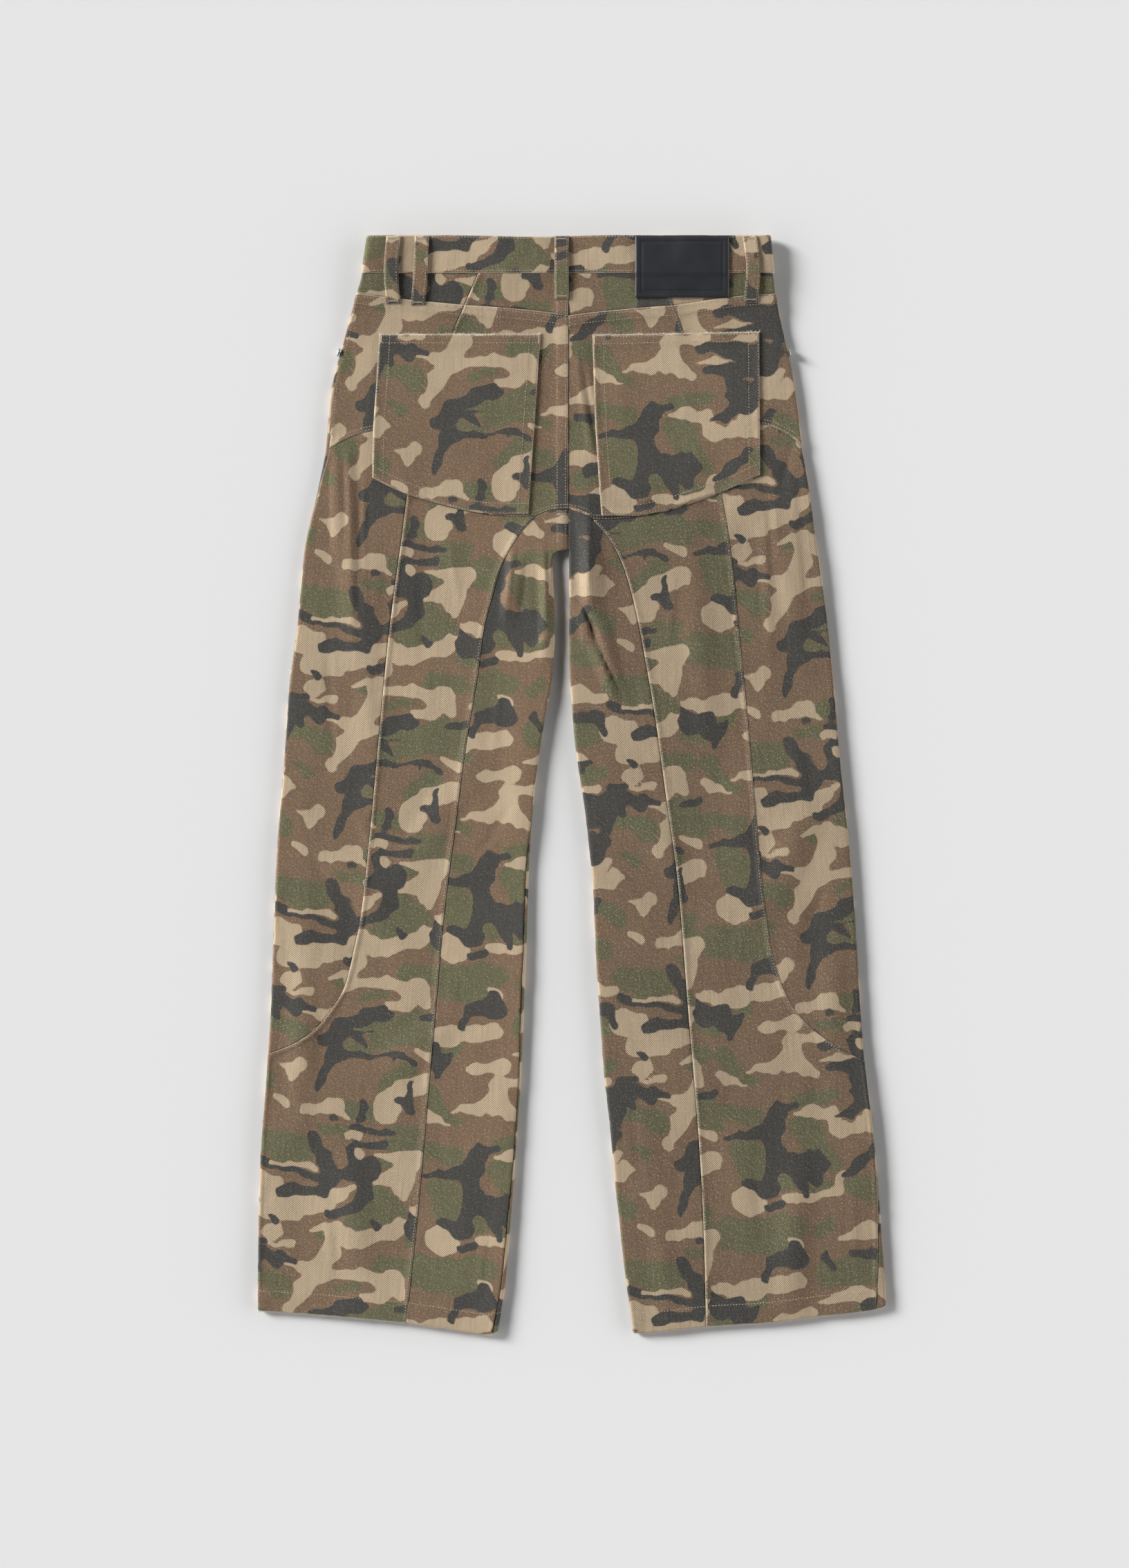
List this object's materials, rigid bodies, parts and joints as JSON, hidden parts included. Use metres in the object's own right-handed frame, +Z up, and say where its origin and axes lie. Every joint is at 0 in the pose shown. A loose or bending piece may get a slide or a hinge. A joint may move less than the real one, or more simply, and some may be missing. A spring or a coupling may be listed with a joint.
{
  "type": "baggy jeans",
  "caption": "Wide-legged camouflage twill jeans laid flat with the back up: yoke, curved leg seams, patch pockets, belt loops and a leather waist patch.",
  "frame": {"origin": "centre of the garment's box, on the surface that it lies on", "axes": "+Y along the legs towards the waist, +Z up from the surface to the back of the jeans, +X to the wearer's right"},
  "size_m": [0.6182, 1.0806, 0.0161],
  "materials": {
    "camouflage twill": "matt washed cotton twill with a woodland camouflage print",
    "patch leather": "semi-matt black grain",
    "button metal": "aged",
    "rivet metal": "dull"
  },
  "bodies": {
    "root": {"yoke_outer_left": "camouflage twill", "yoke_centre_left": "camouflage twill", "seat_outer_left": "camouflage twill", "seat_centre_left": "camouflage twill", "side_panel_left": "camouflage twill", "mid_panel_left": "camouflage twill", "inner_panel_left": "camouflage twill", "back_pocket_left": "camouflage twill", "front_panel_left": "camouflage twill", "pocket_facing_left": "camouflage twill", "yoke_outer_right": "camouflage twill", "yoke_centre_right": "camouflage twill", "seat_outer_right": "camouflage twill", "seat_centre_right": "camouflage twill", "side_panel_right": "camouflage twill", "mid_panel_right": "camouflage twill", "inner_panel_right": "camouflage twill", "back_pocket_right": "camouflage twill", "front_panel_right": "camouflage twill", "pocket_facing_right": "camouflage twill", "waistband": "camouflage twill", "belt_loop_left_outer": "camouflage twill", "belt_loop_left_inner": "camouflage twill", "belt_loop_centre": "camouflage twill", "belt_loop_right": "camouflage twill", "belt_loop_front_left": "camouflage twill", "belt_loop_front_right": "camouflage twill", "fly_shield": "camouflage twill", "leather_patch": "patch leather", "waist_button": "button metal", "rivet_left": "rivet metal", "rivet_right": "rivet metal"}
  },
  "joints": []
}
